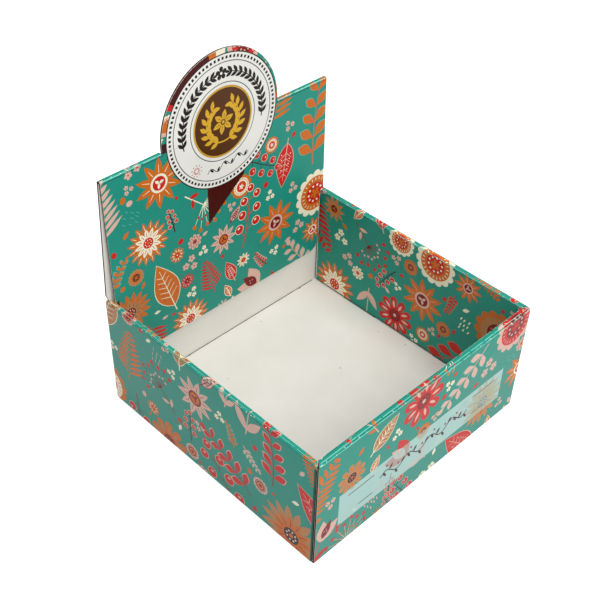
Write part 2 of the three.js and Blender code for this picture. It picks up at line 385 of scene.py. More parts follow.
def bent(length, bend, steps=10):
    """Points of a stem that starts straight up and bends sideways."""
    return [(bend * (i / steps) ** 2, length * i / steps) for i in range(steps + 1)]


def scalloped(radius, lobes, depth, sides_per_lobe=7):
    return [polar(radius * (1 - depth + depth * abs(sin(a * lobes / 2)) ** 0.7), a)
            for a in around(lobes * sides_per_lobe)]


# Motifs. Each gives shapes as (layer, colour, outline) about its own middle.

def dahlia(size, tones, draw):
    """A large open flower with three rings of pointed petals."""
    outer, inner, heart = tones
    for a in around(16):
        yield 0, outer, leaf(0, 0, a, size, size * 0.235, 0.66)
        yield 1, inner, line(turned([(size * 0.66, 0), (size * 0.9, 0)], a), 0.55, 0.2)
    for a in around(12, 0.2):
        yield 2, inner, leaf(0, 0, a, size * 0.66, size * 0.2, 0.64)
        yield 3, heart, line(turned([(size * 0.3, 0), (size * 0.52, 0)], a), 0.55, 0.25)
    yield 4, heart, circle(0, 0, size * 0.24)
    for a in around(8):
        yield 5, "cream", circle(*polar(size * 0.15, a), size * 0.028)
    yield 5, "orange", circle(0, 0, size * 0.07)


def daisy(size, tones, draw):
    """A round-petalled flower with a dotted middle."""
    outer, inner, heart = tones
    count = 8 + int(draw.random() * 3)
    for a in around(count):
        yield 0, outer, petal(0, 0, a, size, size * 3.9 / count)
    for a in around(count):
        yield 1, inner, leaf(*polar(size * 0.4, a), a, size * 0.42, size * 0.13)
    yield 2, heart, circle(0, 0, size * 0.32)
    for a in around(7):
        yield 3, outer, circle(*polar(size * 0.2, a), size * 0.035)
    yield 3, inner, circle(0, 0, size * 0.09)


def rosette(size, tones, draw):
    """A scalloped round with rings of dashes and dots."""
    outer, inner, heart = tones
    yield 0, outer, scalloped(size, 14, 0.14)
    yield 1, inner, circle(0, 0, size * 0.74)
    for a in around(22):
        yield 2, outer, line(turned([(size * 0.56, 0), (size * 0.68, 0)], a), 0.7)
    yield 2, heart, circle(0, 0, size * 0.46)
    for a in around(10):
        yield 3, outer, circle(*polar(size * 0.34, a), size * 0.05)
    for a in around(5, 0.3):
        yield 3, inner, petal(0, 0, a, size * 0.24, size * 0.14)


def star_flower(size, tones, draw):
    """A flower with sharp petals and a veined middle."""
    outer, inner, heart = tones
    for a in around(10):
        yield 0, outer, leaf(0, 0, a, size, size * 0.31, 0.52)
    for a in around(10):
        yield 1, inner, line(turned([(size * 0.42, 0), (size * 0.74, 0)], a), 0.55, 0.2)
    yield 2, inner, circle(0, 0, size * 0.36)
    yield 3, heart, circle(0, 0, size * 0.27)
    for a in around(3, 0.5):
        yield 4, inner, leaf(0, 0, a, size * 0.22, size * 0.12)


def sprig(size, tones, draw):
    """A bent stem with leaves in turn to the left and right, each with a thin lighter rim."""
    leaf_tone, rim_tone, stem_tone = tones
    stem = [(x, y - size / 2) for x, y in bent(size, size * 0.16)]
    yield 0, stem_tone, line(stem, 0.9, 0.4)
    pairs = 5
    for i in range(pairs):
        share = 0.16 + 0.72 * i / (pairs - 1)
        x, y = size * 0.16 * share ** 2, size * (share - 0.5)
        long = size * (0.27 - 0.10 * share)
        for side in (1, -1):
            angle = pi / 2 - side * (1.0 - 0.25 * share)
            yield 1, rim_tone, leaf(x, y, angle, long + 0.9, long * 0.50 + 0.8, 0.6)
            yield 2, leaf_tone, leaf(x, y, angle, long, long * 0.50, 0.6)
    x, y = stem[-1]
    yield 2, leaf_tone, leaf(x, y - size * 0.02, pi / 2 - 0.25, size * 0.17, size * 0.09, 0.6)


def fern(size, tones, draw):
    """A frond: a straight rib with many thin leaflets that get shorter towards the tip."""
    tone = tones[0]
    yield 0, tone, line([(0, -size / 2), (0, size / 2)], 0.9, 0.3)
    rows = 9
    for i in range(rows):
        share = i / (rows - 1)
        y = -size * 0.36 + size * 0.8 * share
        long = size * (0.30 * (1 - share) ** 0.7 + 0.07)
        for side in (1, -1):
            yield 1, tone, leaf(0, y, pi / 2 - side * 0.95, long, size * 0.06, 0.5, 5)


def tulip(size, tones, draw):
    """A cup of three pointed petals on a stem with two long leaves."""
    outer, inner, leaf_tone = tones
    top = size * 0.12
    yield 0, leaf_tone, line([(0, -size / 2), (0, top)], 1.0, 0.8)
    yield 0, leaf_tone, leaf(0, -size * 0.42, pi / 2 - 0.65, size * 0.42, size * 0.13)
    yield 0, leaf_tone, leaf(0, -size * 0.42, pi / 2 + 0.65, size * 0.36, size * 0.13)
    for turn in (0.42, -0.42):
        yield 1, outer, leaf(0, top - size * 0.06, pi / 2 + turn, size * 0.44, size * 0.24, 0.42)
    yield 2, outer, circle(0, top + size * 0.05, size * 0.125)
    yield 3, inner, leaf(0, top - size * 0.02, pi / 2, size * 0.36, size * 0.17, 0.42)
    for i in (-1, 0, 1):
        yield 4, outer, circle(i * size * 0.03, top + size * (0.16 - 0.04 * abs(i)), 0.5)


def seed_head(size, tones, draw):
    """Thin rays from one point, each with a round seed on its end."""
    ray_tone, seed_tone, foot_tone = tones
    yield 0, ray_tone, line([(0, -size), (0, 0)], 0.9, 0.6)
    count = 9
    for i in range(count):
        a = pi * (0.06 + 0.88 * i / (count - 1))
        reach = size * (0.86 + 0.12 * (i % 2))
        x, y = polar(reach, a)
        yield 0, ray_tone, line([(0, 0), (x, y)], 0.6, 0.35)
        yield 1, seed_tone, circle(x, y, size * 0.085)
        yield 2, foot_tone, circle(x * 0.56, y * 0.56, size * 0.05)
    yield 1, foot_tone, leaf(0, -size * 0.75, pi / 2 + 0.8, size * 0.42, size * 0.16)
    yield 1, foot_tone, leaf(0, -size * 0.6, pi / 2 - 0.8, size * 0.38, size * 0.15)


def berry_branch(size, tones, draw):
    """A branch with round berries in threes, each with a pale glint and a lighter rim."""
    berry, glint, twig = tones
    stem = [(x, y - size / 2) for x, y in bent(size, -size * 0.14)]
    yield 0, twig, line(stem, 1.0, 0.5)
    for i in range(7):
        share = 0.2 + 0.8 * i / 6
        x, y = -size * 0.14 * share ** 2, size * (share - 0.5)
        side = 1 if i % 2 else -1
        reach = size * (0.25 - 0.08 * share)
        a = pi / 2 - side * 0.85
        if i == 6:
            reach, a = size * 0.09, pi / 2
        bx, by = polar(reach, a, x, y)
        radius = size * (0.085 - 0.02 * share)
        yield 0, twig, line([(x, y), (bx, by)], 0.6, 0.5)
        yield 1, glint, circle(bx, by, radius + 0.45)
        yield 2, berry, circle(bx, by, radius)
        off = radius * 0.25
        yield 3, glint, oval(bx - off, by + off, radius * 0.7, radius * 0.45, 0.8)


def veined_leaf(size, tones, draw):
    """One broad leaf with a pale rib and side veins."""
    leaf_tone, vein_tone, dot_tone = tones
    yield 0, vein_tone, leaf(0, -size / 2 - 0.6, pi / 2, size + 1.2, size * 0.46 + 1.2, 0.42, 10)
    yield 1, leaf_tone, leaf(0, -size / 2, pi / 2, size, size * 0.46, 0.42, 10)
    yield 2, vein_tone, line([(0, -size * 0.62), (0, size * 0.36)], 0.9, 0.3)
    for i in range(5):
        y = -size * 0.28 + size * 0.12 * i
        reach = size * (0.17 - 0.018 * i)
        for side in (1, -1):
            yield 2, vein_tone, line([(0, y), (side * reach, y + reach * 0.75)], 0.6, 0.3)
            if i < 4:
                yield 3, dot_tone, circle(side * reach * 0.75, y + reach * 0.15, 0.5)


def blossoms(size, tones, draw):
    """Three small five-petalled blossoms."""
    for i, (px, py) in enumerate(((-0.5, -0.35), (0.5, -0.2), (-0.02, 0.55))):
        for a in around(5, i * 0.5):
            yield 0, tones[0], petal(px * size, py * size, a, size * 0.42, size * 0.30)
        yield 1, tones[1], circle(px * size, py * size, size * 0.09)


def loose_grid(size, wide, tall, drift, draw):
    """Nine places in rows of three, each a little off its spot."""
    for i in range(9):
        x = ((i % 3) - 1) * size * wide + draw.uniform(-drift, drift) * size
        y = ((i // 3) - 1) * size * tall + draw.uniform(-drift, drift) * size
        yield x, y


def seeds(size, tones, draw):
    """A loose group of slim ovals that lean one way."""
    for x, y in loose_grid(size, 0.52, 0.62, 0.1, draw):
        yield 0, tones[0], leaf(x, y, 1.1, size * 0.52, size * 0.17, 0.5, 5)


def dashes(size, tones, draw):
    """A patch of short fine strokes like falling rain."""
    for x, y in loose_grid(size, 0.5, 0.6, 0.12, draw):
        end = turned([(0, 0), (size * 0.4, 0)], 1.2, x, y)
        yield 0, tones[0], line(end, 0.45)


def dot(size, tones, draw):
    return [(0, tones[0], oval(0, 0, size * 2, size * 1.7, draw.random() * 3))]


def small_leaf(size, tones, draw):
    return [(0, tones[0], leaf(-size, 0, 0, size * 2, size * 0.95, 0.55, 6))]


# Which motifs a print draws from: function, size range and sets of tones

def tones(text):
    return [tuple(names.split()) for names in text.split(",")]


TONES_WARM = tones("orange tan crimson, tan orange plum, orange cream red")
TONES_PALE = tones("blush crimson orange, cream orange red, blush red crimson")
TONES_RED = tones("red blush crimson, red tan cream, red cream crimson")
TONES_LEAF = tones("blush leaf_teal blush, red tan red, red blush crimson, orange leaf_teal orange")
LARGE = [
    (dahlia, (17, 27), TONES_WARM + tones("orange red cream")),
    (rosette, (12, 20), TONES_PALE + TONES_WARM),
    (star_flower, (12, 19), TONES_PALE[:2] + tones("orange blush crimson, orange cream red")),
    (daisy, (12, 19), TONES_WARM + TONES_RED),
    (sprig, (38, 66), TONES_LEAF),
    (fern, (34, 54), TONES_LEAF),
    (tulip, (34, 50), tones("red blush blush, orange cream orange, blush crimson red")),
    (berry_branch, (36, 56), tones("red blush plum, red blush crimson, red cream red")),
    (veined_leaf, (28, 44), tones("orange cream red, red blush cream, tan cream crimson")),
    (seed_head, (14, 20), tones("blush red orange, cream orange red, crimson red blush")),
]
MIDDLE = [
    (daisy, (6, 11), TONES_WARM + TONES_RED + TONES_PALE),
    (star_flower, (6.5, 11), TONES_PALE + TONES_WARM),
    (veined_leaf, (13, 24), tones("red blush cream, orange cream red, blush crimson crimson")),
    (rosette, (6.5, 10.5), TONES_PALE + TONES_WARM),
    (sprig, (18, 32), TONES_LEAF),
    (seeds, (7, 10), tones("blush, cream")),
    (berry_branch, (17, 28), tones("red blush plum, orange cream tan, red blush crimson")),
    (blossoms, (6.5, 9), tones("blush red, cream orange, blush tan")),
    (dashes, (7, 9), tones("leaf_teal, blush")),
]
SMALL = [
    (dot, (1.4, 2.5), tones("orange, red, blush, orange, red")),
    (small_leaf, (2.4, 3.4), tones("blush, red, cream, orange")),
    (blossoms, (4.2, 5.2), tones("blush red, cream orange")),
]
# Half the width of the long motifs, as a share of their length
SLIM = {sprig: 0.24, fern: 0.25, tulip: 0.22, berry_branch: 0.22, veined_leaf: 0.23}


def footprint(kind, size, x, y, angle):
    """Circles that cover a motif, for keeping motifs apart."""
    if kind in SLIM:
        radius = size * SLIM[kind]
        reach = size / 2 - radius * 0.6
        steps = [-reach, -reach / 3, reach / 3, reach]
        up = (-sin(angle), cos(angle))
        return [(x + up[0] * s, y + up[1] * s, radius) for s in steps]
    return [(x, y, size)]


def scatter(seed, low, high, keep_out=()):
    """Lays motifs over a stretch of the flat sheet, the large ones first, without overlaps."""
    draw = random.Random(seed)
    taken, laid = list(keep_out), []
    area = (high[0] - low[0]) * (high[1] - low[1])
    hang = 4  # how far outside the stretch a motif's middle may lie
    for choices, area_for_a_try, gap in ((LARGE, 20, 0.3), (MIDDLE, 12, 0.4), (SMALL, 8, 0.7)):
        bag = []
        for _ in range(int(area / area_for_a_try)):
            if not bag:
                bag = list(choices)
                draw.shuffle(bag)
            kind, (least, most), choice = bag[-1]
            x, y = [draw.uniform(low[k] - hang, high[k] + hang) for k in (0, 1)]
            angle = draw.uniform(-pi, pi)
            if kind in SLIM:
                angle = draw.uniform(-0.9, 0.9) + (pi if draw.random() < 0.15 else 0)
            for share in (1.0, 0.7, 0.4, 0.0):
                size = least + (most - least) * share
                circles = footprint(kind, size, x, y, angle)
                if all((x1 - x2) ** 2 + (y1 - y2) ** 2 > (r1 + r2 + gap) ** 2
                       for x1, y1, r1 in circles for x2, y2, r2 in taken):
                    bag.pop()
                    taken += circles
                    tone = choice[int(draw.random() * len(choice))]
                    laid += [(layer, colour, turned(outline, angle, x, y))
                             for layer, colour, outline in kind(size, tone, draw)]
                    break
    return laid


# The sheet's faces. A facet maps a convex part of the flat sheet to its place on the folded box.

class Facet:
    def __init__(self, corners, start, origin, across, up, flip=False, is_fold=False, hole=None):
        self.corners = corners if area_of(corners) > 0 else corners[::-1]
        self.start, self.origin, self.across, self.up = start, origin, across, up
        self.normal = up.cross(across) if flip else across.cross(up)
        self.flip, self.is_fold, self.hole = flip, is_fold, hole
        self.box = box_of(corners)

    def place(self, point, height):
        (u, v), (u0, v0) = point, self.start
        return self.origin + self.across * (u - u0) + self.up * (v - v0) + self.normal * height


def area_of(points):
    return sum(a[0] * b[1] - b[0] * a[1] for a, b in zip(points, points[1:] + points[:1])) / 2


def rounded(path):
    """A path's parts with its corners rounded to chords: from, to, both runs, is it a fold."""
    points, folds = [path[0]], [False]
    for before, corner, after in zip(path, path[1:], path[2:]):
        inward = (corner - before).normalized()
        outward = (after - corner).normalized()
        turn = inward.angle(outward)
        if turn < SOFT_CORNER:
            points.append(corner)
            folds.append(False)
            continue
        setback = FOLD_RADIUS * tan(turn / 2)
        begin, end = corner - inward * setback, corner + outward * setback
        to_middle = (begin + (end - begin) / 2) - corner
        centre = corner + to_middle * (FOLD_RADIUS / cos(turn / 2) / to_middle.length)
        axis = inward.cross(outward).normalized()
        for i in range(FOLD_CHORDS + 1):
            spoke = begin - centre
            spoke.rotate(Matrix.Rotation(turn * i / FOLD_CHORDS, 3, axis))
            points.append(centre + spoke)
            folds.append(i > 0)
    points.append(path[-1])
    folds.append(False)
    parts, run = [], 0.0
    for a, b, is_fold in zip(points, points[1:], folds[1:]):
        length = (b - a).length
        if length > 1e-6:
            parts.append((a, b, run, run + length, is_fold))
        run += length
    return parts


def folded_facets(path, across, limits, start_run, flip=False, hole=None):
    """Facets of a board folded along a path. limits gives the span across at a point of it."""
    facets = []
    for a, b, run_a, run_b, is_fold in rounded([Vector(p) for p in path]):
        va, vb = start_run + run_a, start_run + run_b
        (a0, a1), (b0, b1) = limits(a.lerp(b, 0.001)), limits(b.lerp(a, 0.001))
        corners = [(a0, va), (a1, va), (b1, vb), (b0, vb)]
        up = (b - a).normalized()
        facets.append(Facet(corners, (0.0, va), a, across, up, flip, is_fold, hole))
    return facets


def front_limits(point):
    share = min(1.0, max(0.0, (point.y - FRONT) / (FRONT_INNER - FRONT)))
    if point.z < 1.0:
        return -FRONT_RAW_EDGE, FRONT_RAW_EDGE
    half = FRONT_RAW_EDGE + (SIDE_INNER - MITRE_SLIT - FRONT_RAW_EDGE) * share
    return -half, half


# Shares of the way from a side wall's outer face to its inner one, between which the rim lies
RIM_START, RIM_END = 0.3, 0.99


def side_limits(point):
    share = min(1.0, max(0.0, (SIDE - abs(point.x)) / (SIDE - SIDE_INNER)))
    start = FRONT + MITRE_SLIT + (FRONT_INNER - FRONT - MITRE_SLIT) * share
    if share < RIM_START:
        return start, CORNER_BACK - FOLD_RADIUS
    return start, SIDE_INNER_END if share > RIM_END else BACK_INNER - 0.3


def side_foot_limits(point):
    return CORNER_FRONT + FOLD_RADIUS, CORNER_BACK - FOLD_RADIUS


def header_limits(point):
    if point.z > WALL_HEIGHT + RELIEF:
        share = (HEADER_TOP - point.z) / (HEADER_TOP - WALL_HEIGHT - RELIEF)
        half = HEADER_HALF + (SIDE - HEADER_HALF) * share
    elif point.z > WALL_HEIGHT:
        half = BACK_HALF + (SIDE - BACK_HALF) * (point.z - WALL_HEIGHT) / RELIEF
    else:
        half = BACK_HALF
    return -half, half


X, Y, Z = Vector((1, 0, 0)), Vector((0, 1, 0)), Vector((0, 0, 1))


def front_sheet():
    """The front wall from the floor's fold over the rim to the foot of its inner panel."""
    path = [(0, FRONT + UNDER_FLOOR, 0), (0, FRONT, 0), (0, FRONT, WALL_HEIGHT),
            (0, FRONT_INNER, WALL_HEIGHT), (0, FRONT_INNER, LINER_FOOT)]
    return folded_facets(path, X, front_limits, CORNER_SAVING - UNDER_FLOOR)


def side_sheet(side):
    """A side wall's rim and inner panel, and its outer panel with the corner flap behind."""
    flip = side < 0
    over = [(side * SIDE, 0, CORNER_FLAP_TOP), (side * SIDE, 0, WALL_HEIGHT),
            (side * SIDE_INNER, 0, WALL_HEIGHT), (side * SIDE_INNER, 0, LINER_FOOT)]
    foot = [(side * (SIDE - UNDER_FLOOR), 0, 0), (side * SIDE, 0, 0),
            (side * SIDE, 0, FOLD_RADIUS + 0.8)]
    facets = folded_facets(over, Y, side_limits, CORNER_FLAP_TOP, flip)
    facets += folded_facets(foot, Y, side_foot_limits, CORNER_SAVING - UNDER_FLOOR, flip)
    plan = [(side * (SIDE - 3), CORNER_FRONT, 0), (side * SIDE, CORNER_FRONT, 0),
            (side * SIDE, CORNER_BACK, 0), (side * CORNER_FLAP_END, CORNER_BACK, 0)]
    parts = rounded([Vector(p) for p in plan])
    wall = max(parts, key=lambda part: part[3] - part[2])
    shift = wall[0].y - wall[2]
    for a, b, run_a, run_b, is_fold in parts:
        top_a = top_b = CORNER_FLAP_TOP
        if min(a.y, b.y) > CORNER_BACK - 0.01:
            top_b = CORNER_FLAP_TOP - CORNER_FLAP_TAPER
            top_a = min(CORNER_FLAP_TOP, top_b + FLAP_DROP * (abs(a.x) - CORNER_FLAP_END))
        ua, ub = run_a + shift, run_b + shift
        corners = [(ua, CORNER_FLAP_FOOT), (ub, CORNER_FLAP_FOOT), (ub, top_b), (ua, top_a)]
        facets.append(Facet(corners, (ua, 0.0), a, (b - a).normalized(), Z, flip, is_fold))
    return facets


def header_sheet():
    """The header's top fold, rear layer and back wall. The run goes on from the front layer's."""
    path = [(0, SPINE_FRONT, LIP_FOOT), (0, SPINE_FRONT, HEADER_TOP),
            (0, HEADER_BACK_TOP, HEADER_TOP), (0, BACK - REAR_LEAN * RELIEF, WALL_HEIGHT + RELIEF),
            (0, BACK, WALL_HEIGHT), (0, BACK, 0), (0, BACK - UNDER_FLOOR, 0)]
    hole = circle(0, HOLE_CENTRE_ON_SHEET, HOLE_RADIUS, 72)
    return folded_facets(path, X, header_limits, LIP_FOOT, hole=hole)


def front_layer_sheet():
    """The header's front layer, the tuck below its soft fold, and the round sign above."""
    origin, start = Vector((0, FLAP_FOLD, WALL_HEIGHT)), (0.0, WALL_HEIGHT)
    up = Vector((0, LAYER_SLOPE, 1)).normalized()
    panel = block(-HEADER_HALF, SHOULDER, HEADER_HALF, FLAP_TOP)
    neck = block(-TUCK_HALF, WALL_HEIGHT, TUCK_HALF, SHOULDER)
    sign = clipped(circle(0, SIGN_CENTRE, SIGN_RADIUS, 72), (0.0, FLAP_TOP), (1.0, FLAP_TOP))
    facets = [Facet(outline, start, origin, X, up) for outline in (panel, neck, sign)]
    down = Vector((0, FLAP_FOLD - FLAP_END, WALL_HEIGHT - TUCK_END)).normalized()
    tuck = [(TUCK_HALF, WALL_HEIGHT), (-TUCK_HALF, WALL_HEIGHT)]
    for side, first in ((-1, pi), (1, 1.5 * pi)):
        x, y = side * (TUCK_HALF - TUCK_CORNER), TUCK_END + TUCK_CORNER
        bends = [first + pi / 16 * i for i in range(9)]
        tuck += [polar(TUCK_CORNER, t, x, y) for t in bends]
    return facets + [Facet(tuck, start, origin, X, down)]


# Cutting shapes to the facets

NO_AREA = 1e-4  # square millimetres

def clipped(points, a, b):
    """The part of a convex outline to the left of the line from a to b."""
    ax, ay = a
    dx, dy = b[0] - ax, b[1] - ay
    sides = [dx * (y - ay) - dy * (x - ax) for x, y in points]
    kept = []
    for (x, y), side, (next_x, next_y), next_side in zip(
            points, sides, points[1:] + points[:1], sides[1:] + sides[:1]):
        if side >= 0:
            kept.append((x, y))
        if (side > 0 > next_side) or (side < 0 < next_side):
            share = side / (side - next_side)
            kept.append((x + (next_x - x) * share, y + (next_y - y) * share))
    return kept


def inside_part(points, outline):
    for a, b in zip(outline, outline[1:] + outline[:1]):
        points = clipped(points, a, b)
        if len(points) < 3:
            return []
    return points


def outside_parts(points, outline):
    """A convex shape with a convex outline cut away, as convex pieces."""
    pieces = []
    for a, b in zip(outline, outline[1:] + outline[:1]):
        piece = clipped(points, b, a)
        if len(piece) > 2 and abs(area_of(piece)) > NO_AREA:
            pieces.append(piece)
        points = clipped(points, a, b)
        if len(points) < 3:
            break
    return pieces


def triangles_of(outline):
    if area_of(outline) < 0:
        outline = outline[::-1]
    found = tessellate_polygon([[Vector((x, y, 0)) for x, y in outline]])
    cut = [[outline[i] for i in tri] for tri in found]
    return [corners if area_of(corners) >= 0 else corners[::-1] for corners in cut]


def plain_piece(name, verts, faces, materials, indices, body):
    mesh = bpy.data.meshes.new(name)
    mesh.from_pydata([tuple(v) for v in verts], [], faces)
    for material in materials:
        mesh.materials.append(material)
    mesh.polygons.foreach_set("material_index", indices)
    mesh.update()
    made = put_in_scene(name, mesh)
    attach(made, body)
    return made


def lay_print(ink, facets, shapes, only=None, without=()):
    """Cuts every shape to every facet that it reaches, inside one outline or clear of others.

    ink takes the cut shapes by facet, layer, colour and rank.
    """
    for index, (layer, colour, outline) in enumerate(shapes):
        box = box_of(outline)
        near = [f for f in facets if f.box[0] < box[2] and f.box[2] > box[0]
                and f.box[1] < box[3] and f.box[3] > box[1]]
        for triangle in triangles_of(outline) if near else []:
            for facet in near:
                piece = inside_part(triangle, facet.corners)
                if only:
                    piece = inside_part(piece, only) if len(piece) > 2 else []
                if len(piece) < 3 or abs(area_of(piece)) < NO_AREA:
                    continue
                pieces = [piece]
                for gone in ([facet.hole] if facet.hole else []) + list(without):
                    pieces = [rest for part in pieces for rest in outside_parts(part, gone)]
                ink.setdefault((facet, layer, colour, index % RANKS), []).extend(pieces)


def printed(name, body, *layers):
    """One closed mesh of thin ink from layers: facets, shapes and, for some, cutting options."""
    ink = {}
    for facets, shapes, *options in layers:
        lay_print(ink, facets, shapes, **(options[0] if options else {}))
    verts, faces, indices, used = [], [], [], []
    for (facet, layer, colour, rank), outlines in ink.items():
        if colour not in used:
            used.append(colour)
        top = INK_BASE + INK_STEP * layer + INK_RANK * rank
        known, edges, polys = {}, {}, []
        for outline in outlines:
            ids = []
            for u, v in outline:
                at = known.setdefault((round(u, 3), round(v, 3)), len(known))
                if not ids or ids[-1] != at:
                    ids.append(at)
            if len(ids) > 2 and ids[0] == ids[-1]:
                ids.pop()
            if len(ids) < 3 or len(set(ids)) != len(ids):
                continue
            polys.append(ids)
            for edge in zip(ids, ids[1:] + ids[:1]):
                edges[edge] = edges.get(edge, 0) + 1
        base, below = len(verts), len(verts) + len(known)
        verts += [facet.place(point, height) * MM for height in (top, INK_FOOT) for point in known]
        made = []
        for ids in polys:
            made += [[base + i for i in ids], [below + i for i in reversed(ids)]]
        for (a, b), uses in edges.items():
            rim = [base + b, base + a, below + a, below + b]
            made += [rim] * (uses - edges.get((b, a), 0))
        faces += [face[::-1] for face in made] if facet.flip else made
        indices += [used.index(colour)] * len(made)
    plain_piece(name, verts, faces, [MATERIALS[c] for c in used], indices, body)


# The sign's label, the ribbon below it and the band on the front wall

LABEL_RADIUS = 47.3
LABEL_RINGS = ((LABEL_RADIUS - 0.4, 0.8), (41.3, 0.55), (27.4, 0.55))  # radius and line width
DOT_RING = 44.1
GARLAND_RADIUS = 34.2
EMBLEM_RADIUS = 23.6
WREATH_RADIUS = 14.2
LABEL_MIDDLE = (1.1, SIGN_CENTRE - 1.1)


def on_label(radius, angle):
    return polar(radius, angle, *LABEL_MIDDLE)


def ring(inner, outer, first=0.0, last=2 * pi, sides=96, middle=LABEL_MIDDLE):
    """A ring or part of one as a run of four-sided shapes."""
    count = max(1, round(sides * (last - first) / (2 * pi)))
    step = (last - first) / count
    for i in range(count):
        a, b = first + i * step, first + (i + 1) * step
        corners = ((inner, a), (outer, a), (outer, b), (inner, b))
        yield [polar(radius, angle, *middle) for radius, angle in corners]


def garland():
    """Leaves in pairs along the upper arc of the label, in place of words, with a flower on top."""
    start, end = radians(194), radians(102)
    for mirror in (1, -1):
        turns = [start + (end - start) * i / 24 for i in range(25)]
        stem = [(GARLAND_RADIUS * cos(t) * mirror, GARLAND_RADIUS * sin(t)) for t in turns]
        yield 3, "label_dark", line(stem, 0.9, 0.6)
        for i in range(1, 24, 2):
            (x0, y0), (x1, y1) = stem[i], stem[i + 1]
            heading = atan2(y1 - y0, x1 - x0)
            for lean in (0.62, -0.62):
                yield 3, "label_dark", leaf(x0, y0, heading + lean, 6.2, 2.5, 0.5, 8)
        x, y = stem[-1]
        yield 3, "label_dark", leaf(x, y, atan2(0.2, mirror), 4.2, 2.0, 0.5, 8)
    top = GARLAND_RADIUS + 0.2
    for a in around(5, pi / 2):
        yield 3, "label_dark", petal(0, top, a, 4.6, 3.2)
    yield 4, "label", circle(0, top, 1.0)


def label_shapes():
    """A round label of rings, dots and leaves, with a wreath and a small flower in the middle."""
    middle_x, middle_y = LABEL_MIDDLE
    yield 0, "label", circle(middle_x, middle_y, LABEL_RADIUS, 96)
    for radius, width in LABEL_RINGS:
        for part in ring(radius - width / 2, radius + width / 2):
            yield 1, "label_dark", part
    for a in around(86):
        x, y = on_label(DOT_RING, a)
        yield 1, "label_dark", turned(block(-0.95, -0.85, 0.95, 0.85), a, x, y)
    for layer, colour, outline in garland():
        yield layer, colour, turned(outline, 0.0, middle_x, middle_y)
    crease = HEADER_TOP - 0.4  # a faint line where the sheet was creased beside the sign
    # The crease is drawn as painted shade on the label
    for left, right in ((-45.4, -42.2), (-40.2, -28.2), (30.6, 42.2)):
        yield 2, "label_crease", line([(left, crease - 0.6), (right, crease)], 0.5)
    flourish = [(middle_x - 15 + 36 * i / 30, middle_y - 33.6 + 2.4 * sin(i * pi / 5) + i * 0.13)
                for i in range(31)]
    yield 1, "label_dark", line(flourish, 0.55)
    for i in range(2, 30, 5):
        x, y = flourish[i]
        yield 2, "label_dark", leaf(x, y, 1.0 if i % 2 else -0.8, 4.2, 1.7)
    for a in around(10):
        for reach, size, tone, turn in ((1.2, 1.7, "red", 0.0), (3.4, 1.5, "tan", 0.31)):
            x, y = turned([(reach, 0)], a + turn, middle_x - 24, middle_y - 27)[0]
            yield 1, tone, leaf(x, y, a + turn, size, 0.8)
    yield 3, "gold_edge", circle(middle_x, middle_y, EMBLEM_RADIUS + 1.4, 72)
    yield 4, "emblem_brown", circle(middle_x, middle_y, EMBLEM_RADIUS, 72)
    # and as a painted highlight across the dark emblem
    across = [(middle_x - 22.6, crease - 0.4), (middle_x + 22.6, crease)]
    yield 5, "emblem_light", line(across, 0.4)
    for side in (1, -1):
        arc = [-pi / 2 + 2.45 * i / 14 for i in range(15)]
        stem = [(middle_x + side * WREATH_RADIUS * cos(t), middle_y + WREATH_RADIUS * sin(t))
                for t in arc]
        yield 6, "gold", line(stem, 1.1, 0.5)
        for i in range(2, 15, 2):
            (x, y), heading = stem[i], arc[i] + pi / 2
            for lean in (0.7, -0.7):
                angle = heading + lean if side > 0 else pi - heading + lean
                yield 7, "gold", leaf(x, y, angle, 7.2, 3.2, 0.5, 6)
    for a in around(6, 0.3):
        yield 7, "gold", leaf(middle_x, middle_y, a, 9.0, 3.9, 0.55, 8)
        yield 8, "emblem_brown", line([on_label(3.0, a), on_label(6.2, a)], 0.5, 0.2)
    yield 8, "emblem_brown", circle(middle_x, middle_y, 2.1)
    yield 9, "gold", circle(middle_x, middle_y, 1.2)


def sign_rim_shapes():
    """The stretch of print that shows between the label and the sign's edge."""
    spans = [(93, 100, "orange"), (84, 93, "cream"), (100, 146, "ribbon"), (146, 151, "red"),
             (160, 168, "orange"), (168, 171, "blush"), (177, 185, "plum")]
    for low, high, tone in spans:
        for part in ring(44.0, 52.0, radians(low), radians(high), middle=(0.0, SIGN_CENTRE)):
            yield 5, tone, part


# A plain dark ribbon that hangs from under the label, cut off at a slant
RIBBON = [(-14.8, 113.0), (18.0, 139.6), (18.0, 180.0), (-14.8, 180.0)]

BAND_BOX = block(-80.0, 20.0, 80.0, 48.0)


def band_marks():
    """Rules and a running vine in the band's middle."""
    for side in (1, -1):
        yield 7, "plum", line([(side * 72, 42.5), (side * 49, 42.5)], 0.5)
        yield 7, "plum", line([(side * 62, 26), (side * 49, 26)], 0.45)
    vine = [(-43 + 86 * i / 60, 34.5 + 3.2 * sin(i * pi / 7.5)) for i in range(61)]
    yield 7, "plum", line(vine, 0.75)
    for i in range(2, 60, 4):
        x, y = vine[i]
        lean = 1.0 if (i // 4) % 2 else -1.0
        yield 8, "plum", leaf(x, y, lean, 5.2, 2.1, 0.5, 6)
    for i in range(4, 60, 8):
        x, y = vine[i]
        yield 8, "crimson", circle(x, y + (4.2 if i % 16 else -4.2), 0.9)


# Wear and painted light: light and dark lines along the creases, painted highlight and shade where
# the film stretched over them, small cracks of bare fibre, and painted shade in the gaps at the
# panels' feet, the corners and the floor

FOLD_MARKS, EDGE_MARKS = 10, 11  # the layers above all other ink

